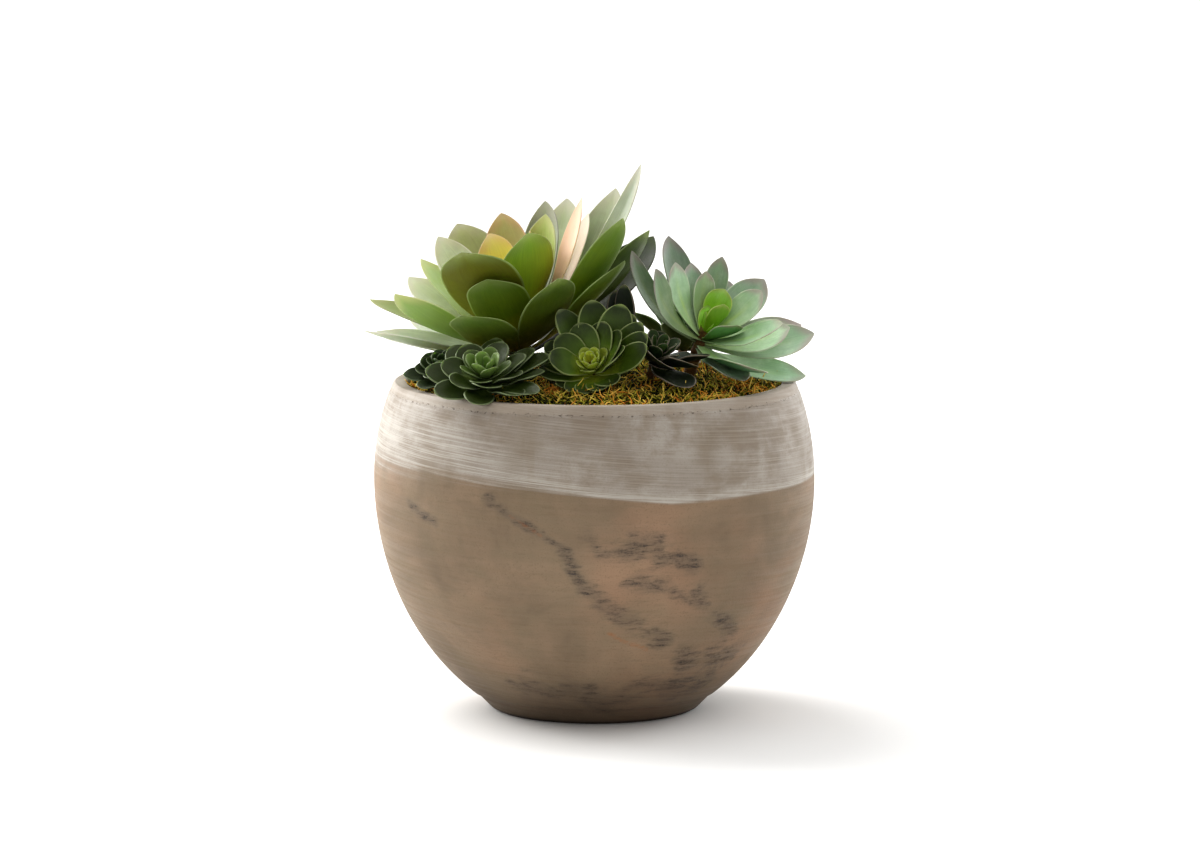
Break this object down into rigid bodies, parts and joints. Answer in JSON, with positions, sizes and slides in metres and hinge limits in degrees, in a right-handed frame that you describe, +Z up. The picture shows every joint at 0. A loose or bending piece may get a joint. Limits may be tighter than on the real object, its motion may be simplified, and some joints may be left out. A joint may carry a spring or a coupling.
{
  "type": "potted succulent arrangement",
  "caption": "Round-bellied matt pot planted with a group of succulent rosettes, large and small, rising from a cover of curly moss.",
  "frame": {"origin": "centre of the pot's flat underside", "axes": "+Z up from the foot through the planting, -Y towards the front of the arrangement, +X to the right of someone facing the front"},
  "size_m": [0.2908, 0.2802, 0.3474],
  "materials": {
    "pot": "matt warm taupe earthenware with a pale, brushed wash on the upper third and smoky brown marks",
    "soil": "dark bark and coir potting mix",
    "moss": "curly dried sheet moss, yellow-green to golden brown",
    "stem": "smooth pale green-brown stem",
    "pale_leaf": "smooth powdery mint-green leaf skin",
    "fresh_leaf": "smooth yellow-green leaf skin",
    "blush_leaf": "smooth peach and pink leaf skin",
    "olive_leaf": "smooth dark olive leaf skin",
    "teal_leaf": "smooth sea-green leaf skin with a pale midrib and a dusky pink tip",
    "lime_leaf": "smooth bright green young leaf skin",
    "deep_leaf": "smooth deep teal leaf underside with a pale rim",
    "front_left_rosette": "satin deep green leaf skin with pale rims",
    "far_left_rosette": "satin very dark green leaf skin with pale rims",
    "centre_rosette": "satin leaf skin, bright yellow-green heart and dark outer leaves",
    "shaded_rosette": "satin dark green leaf skin with pale pink rims",
    "back_rosette": "satin deep green leaf skin"
  },
  "bodies": {
    "root": {"pot": "pot", "soil": "soil", "moss": "moss", "large_stem": "stem", "side_stem": "stem", "large_leaf_01": "blush_leaf", "large_leaf_02": "blush_leaf", "large_leaf_03": "blush_leaf", "large_leaf_04": "olive_leaf", "large_leaf_05": "olive_leaf", "large_leaf_06": "fresh_leaf", "large_leaf_07": "pale_leaf", "large_leaf_08": "pale_leaf", "large_leaf_09": "fresh_leaf", "large_leaf_10": "fresh_leaf", "large_leaf_11": "olive_leaf", "large_leaf_12": "pale_leaf", "large_leaf_13": "pale_leaf", "large_leaf_14": "blush_leaf", "large_leaf_15": "pale_leaf", "large_leaf_16": "fresh_leaf", "large_leaf_17": "olive_leaf", "large_leaf_18": "olive_leaf", "large_leaf_19": "pale_leaf", "large_leaf_20": "pale_leaf", "large_leaf_21": "pale_leaf", "large_leaf_22": "olive_leaf", "large_leaf_23": "pale_leaf", "large_leaf_24": "pale_leaf", "large_leaf_25": "olive_leaf", "large_leaf_26": "olive_leaf", "large_leaf_27": "olive_leaf", "large_leaf_28": "pale_leaf", "large_leaf_29": "pale_leaf", "side_leaf_01": "lime_leaf", "side_leaf_02": "lime_leaf", "side_leaf_03": "deep_leaf", "side_leaf_04": "teal_leaf", "side_leaf_05": "teal_leaf", "side_leaf_06": "teal_leaf", "side_leaf_07": "teal_leaf", "side_leaf_08": "teal_leaf", "side_leaf_09": "teal_leaf", "side_leaf_10": "teal_leaf", "side_leaf_11": "teal_leaf", "side_leaf_12": "deep_leaf", "side_leaf_13": "teal_leaf", "side_leaf_14": "teal_leaf", "side_leaf_15": "teal_leaf", "side_leaf_16": "teal_leaf", "side_leaf_17": "teal_leaf", "side_leaf_18": "deep_leaf", "side_leaf_19": "deep_leaf", "side_leaf_20": "deep_leaf", "side_leaf_21": "teal_leaf", "front_left_rosette": "front_left_rosette", "far_left_rosette": "far_left_rosette", "centre_rosette": "centre_rosette", "shaded_rosette": "shaded_rosette", "back_rosette": "back_rosette"}
  },
  "joints": []
}
